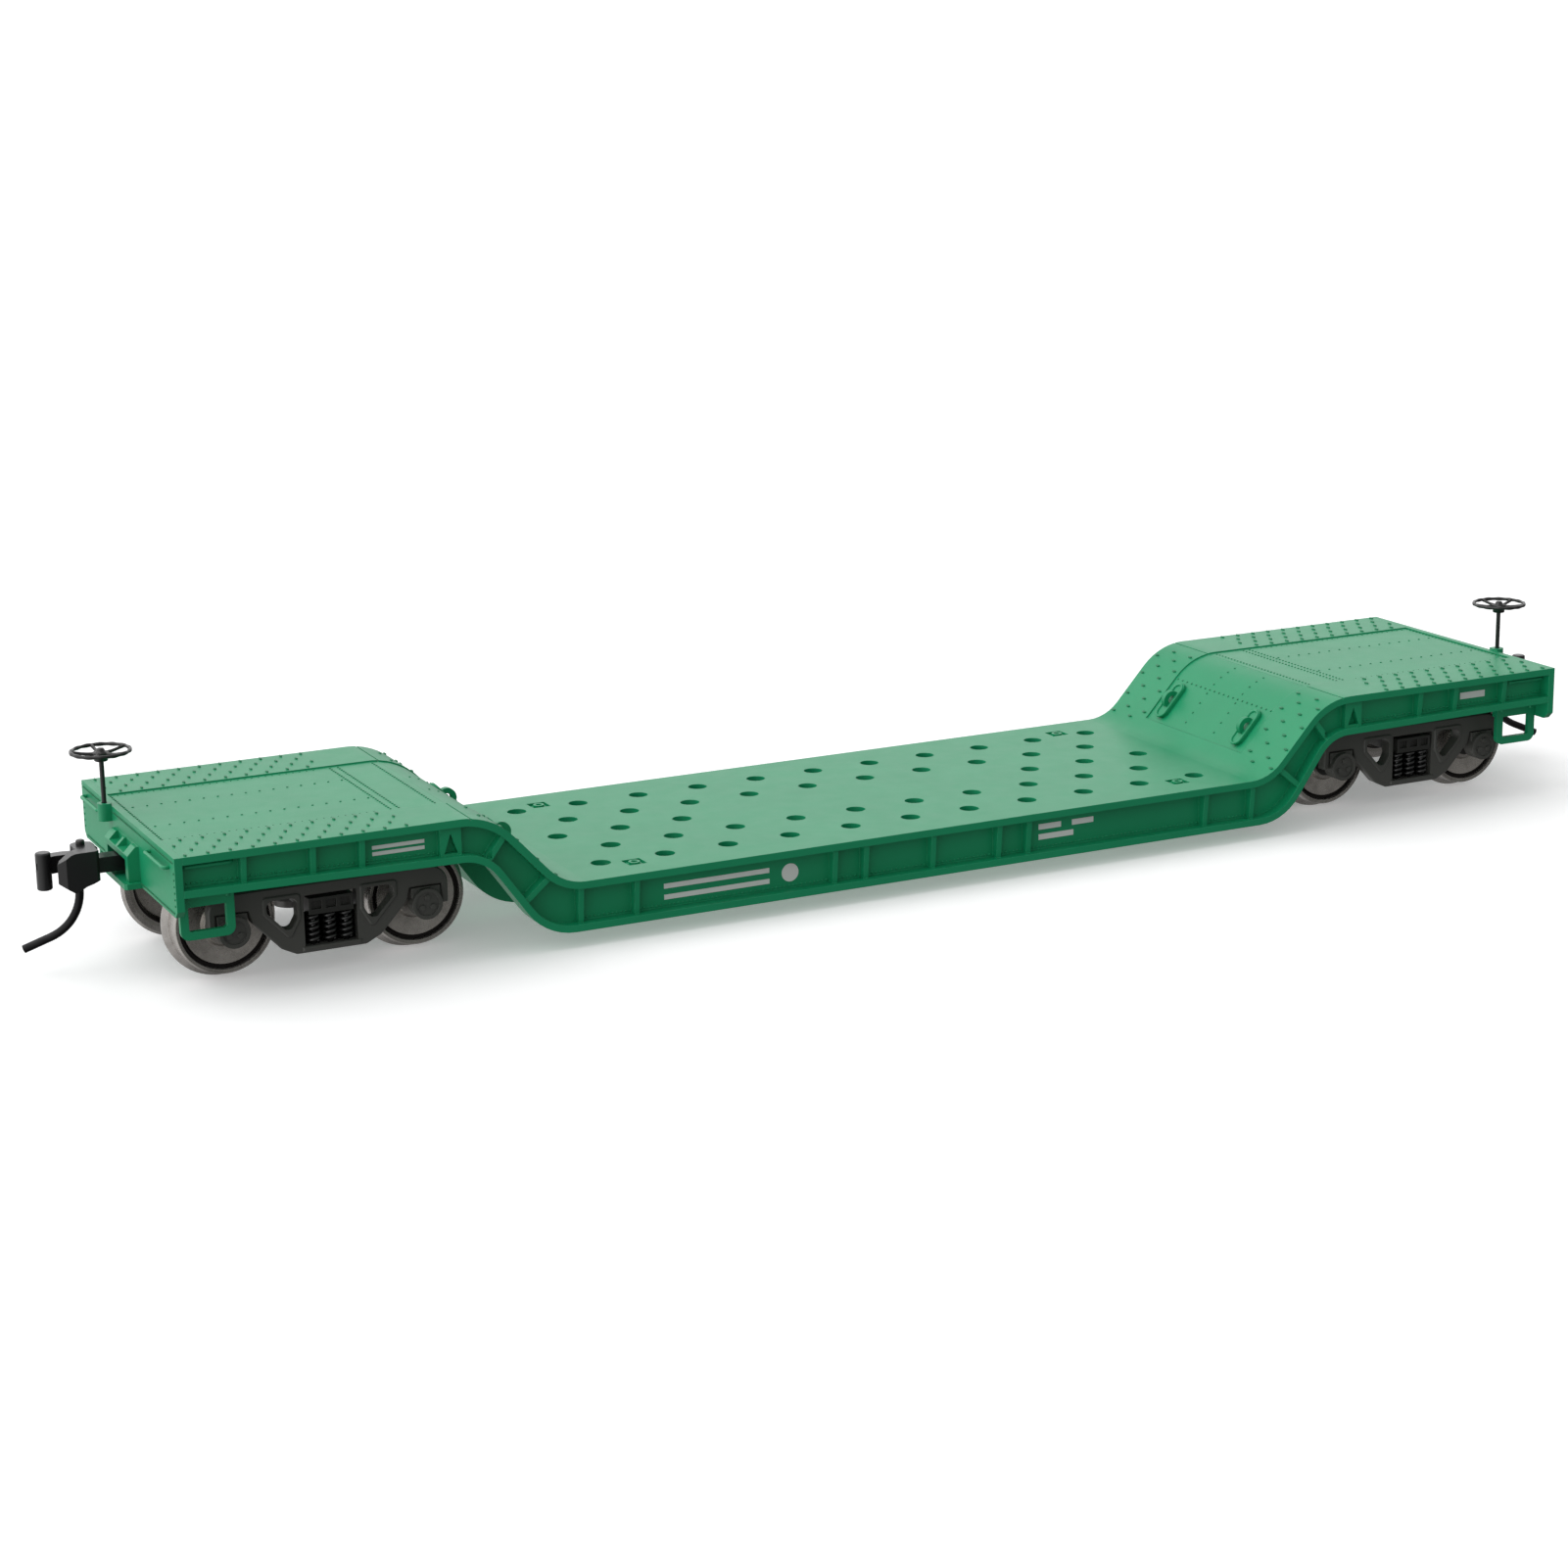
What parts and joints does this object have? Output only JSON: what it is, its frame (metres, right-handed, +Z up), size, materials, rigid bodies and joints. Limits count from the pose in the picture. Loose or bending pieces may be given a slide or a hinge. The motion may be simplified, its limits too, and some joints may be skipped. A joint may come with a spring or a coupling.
{
  "type": "model flat car",
  "caption": "Depressed-centre model railway flat car with riveted decks, ribbed side sills, sprung-look swivelling trucks, rolling wheelsets, knuckle couplers and brake wheels.",
  "frame": {"origin": "mid length of the car on its centreline, at the bottom of the wheel flanges, on which the car stands on a flat table; the rail head is 0.65 mm higher", "axes": "+X along the car towards end b, +Y across the car to its right-hand side seen from the sill named left, +Z up"},
  "size_m": [0.1904, 0.0352, 0.0215],
  "materials": {
    "green_body": "satin green paint on moulded plastic",
    "truck_black": "semi-matt black moulded plastic",
    "brake_black": "satin black moulded plastic",
    "coupler_black": "blackened cast metal",
    "pin_steel": "blackened steel",
    "spring_bronze": "plain phosphor bronze",
    "wheel_metal": "turned and chemically darkened metal",
    "axle_steel": "darkened turned steel",
    "bush_black": "insulating black plastic",
    "screw_steel": "blackened steel",
    "ballast_steel": "plain stamped steel"
  },
  "bodies": {
    "car": {"ballast_weight": "ballast_steel", "body_bolster_a": "green_body", "body_bolster_b": "green_body", "centre_sill": "green_body", "centring_spring_a": "spring_bronze", "centring_spring_b": "spring_bronze", "deck": "green_body", "deck_rings": "green_body", "draft_box_a": "green_body", "draft_box_b": "green_body", "draft_lid_a": "green_body", "draft_lid_b": "green_body", "end_sill_a": "green_body", "end_sill_b": "green_body", "frame_screws": "screw_steel", "grab_irons": "green_body", "kingpin_a": "screw_steel", "kingpin_b": "screw_steel", "side_sill_left": "green_body", "side_sill_right": "green_body", "slope_lugs": "green_body", "stirrup_steps": "green_body", "underframe": "green_body"},
    "truck_a": {"truck_bolster_a": "truck_black", "truck_springs_a": "truck_black", "bearing_caps_a": "truck_black", "side_frame_a_left": "truck_black", "side_frame_a_right": "truck_black"},
    "wheelset_a_inner": {"axle_a_inner": "axle_steel", "wheels_a_inner": "wheel_metal", "bush_a_inner": "bush_black"},
    "wheelset_a_outer": {"axle_a_outer": "axle_steel", "wheels_a_outer": "wheel_metal", "bush_a_outer": "bush_black"},
    "coupler_a": {"coupler_a": "coupler_black", "trip_pin_a": "coupler_black", "knuckle_pin_a": "pin_steel"},
    "knuckle_a": {"knuckle_a": "coupler_black"},
    "brake_a": {"brake_wheel_a": "brake_black", "brake_staff_a": "brake_black"},
    "truck_b": {"truck_bolster_b": "truck_black", "truck_springs_b": "truck_black", "bearing_caps_b": "truck_black", "side_frame_b_left": "truck_black", "side_frame_b_right": "truck_black"},
    "wheelset_b_inner": {"axle_b_inner": "axle_steel", "wheels_b_inner": "wheel_metal", "bush_b_inner": "bush_black"},
    "wheelset_b_outer": {"axle_b_outer": "axle_steel", "wheels_b_outer": "wheel_metal", "bush_b_outer": "bush_black"},
    "coupler_b": {"coupler_b": "coupler_black", "trip_pin_b": "coupler_black", "knuckle_pin_b": "pin_steel"},
    "knuckle_b": {"knuckle_b": "coupler_black"},
    "brake_b": {"brake_wheel_b": "brake_black", "brake_staff_b": "brake_black"}
  },
  "joints": [
    {"name": "truck_a_swivel", "type": "hinge", "parent": "car", "child": "truck_a", "pos_m": [-0.06705, 0, 0.01], "axis": [0, 0, 1], "range_deg": [-8.5, 8.5]},
    {"name": "wheelset_a_inner_roll", "type": "hinge", "parent": "truck_a", "child": "wheelset_a_inner", "pos_m": [-0.0569, 0, 0.0059], "axis": [0, 1, 0], "continuous": true},
    {"name": "wheelset_a_outer_roll", "type": "hinge", "parent": "truck_a", "child": "wheelset_a_outer", "pos_m": [-0.0772, 0, 0.0059], "axis": [0, 1, 0], "continuous": true},
    {"name": "coupler_a_swing", "type": "hinge", "parent": "car", "child": "coupler_a", "pos_m": [-0.0805, 0, 0.011], "axis": [0, 0, 1], "range_deg": [-8, 8], "stiffness_Nm_per_rad": 0.002},
    {"name": "knuckle_a_open", "type": "hinge", "parent": "coupler_a", "child": "knuckle_a", "pos_m": [-0.08855, 0.001, 0.0114], "axis": [0, 0, 1], "range_deg": [-25, 0], "stiffness_Nm_per_rad": 0.0005},
    {"name": "brake_a_turn", "type": "hinge", "parent": "car", "child": "brake_a", "pos_m": [-0.08455, 0.0061, 0.015], "axis": [0, 0, 1], "continuous": true},
    {"name": "truck_b_swivel", "type": "hinge", "parent": "car", "child": "truck_b", "pos_m": [0.06705, 0, 0.01], "axis": [0, 0, 1], "range_deg": [-8.5, 8.5]},
    {"name": "wheelset_b_inner_roll", "type": "hinge", "parent": "truck_b", "child": "wheelset_b_inner", "pos_m": [0.0569, 0, 0.0059], "axis": [0, 1, 0], "continuous": true},
    {"name": "wheelset_b_outer_roll", "type": "hinge", "parent": "truck_b", "child": "wheelset_b_outer", "pos_m": [0.0772, 0, 0.0059], "axis": [0, 1, 0], "continuous": true},
    {"name": "coupler_b_swing", "type": "hinge", "parent": "car", "child": "coupler_b", "pos_m": [0.0805, 0, 0.011], "axis": [0, 0, 1], "range_deg": [-8, 8], "stiffness_Nm_per_rad": 0.002},
    {"name": "knuckle_b_open", "type": "hinge", "parent": "coupler_b", "child": "knuckle_b", "pos_m": [0.08855, -0.001, 0.0114], "axis": [0, 0, 1], "range_deg": [-25, 0], "stiffness_Nm_per_rad": 0.0005},
    {"name": "brake_b_turn", "type": "hinge", "parent": "car", "child": "brake_b", "pos_m": [0.08455, -0.0061, 0.015], "axis": [0, 0, 1], "continuous": true}
  ]
}
